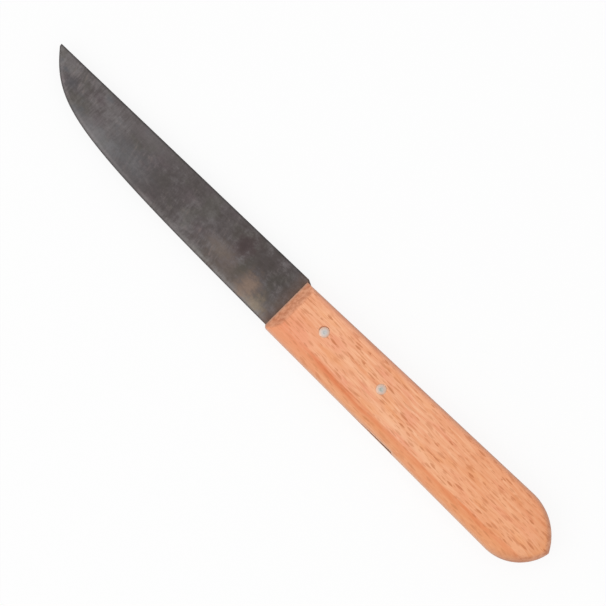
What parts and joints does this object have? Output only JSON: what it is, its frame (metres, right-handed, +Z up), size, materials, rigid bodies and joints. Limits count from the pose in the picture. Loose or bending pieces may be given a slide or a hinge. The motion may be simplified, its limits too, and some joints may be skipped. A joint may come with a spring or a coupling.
{
  "type": "paring knife",
  "caption": "Fixed-blade paring knife: straight-spined carbon-steel blade with a curved cutting edge, its half tang pinned in the slot of a one-piece beech handle with a pointed butt.",
  "frame": {"origin": "middle of the footprint of the knife lying on its side, on the surface it lies on", "axes": "+X along the knife towards the blade's tip, +Y towards the side the cutting edge faces, +Z up from the surface, square to the blade"},
  "size_m": [0.2056, 0.0216, 0.0131],
  "materials": {
    "blade_steel": "carbon steel with a dark kitchen patina over fine grinding marks that run across the blade",
    "handle_beech": "steamed beech, sanded and lightly oiled, satin",
    "pin_metal": "soft wire, peened and filed nearly flush with the wood"
  },
  "bodies": {
    "root": {"blade": "blade_steel", "handle": "handle_beech", "front_pin": "pin_metal", "rear_pin": "pin_metal"}
  },
  "joints": []
}
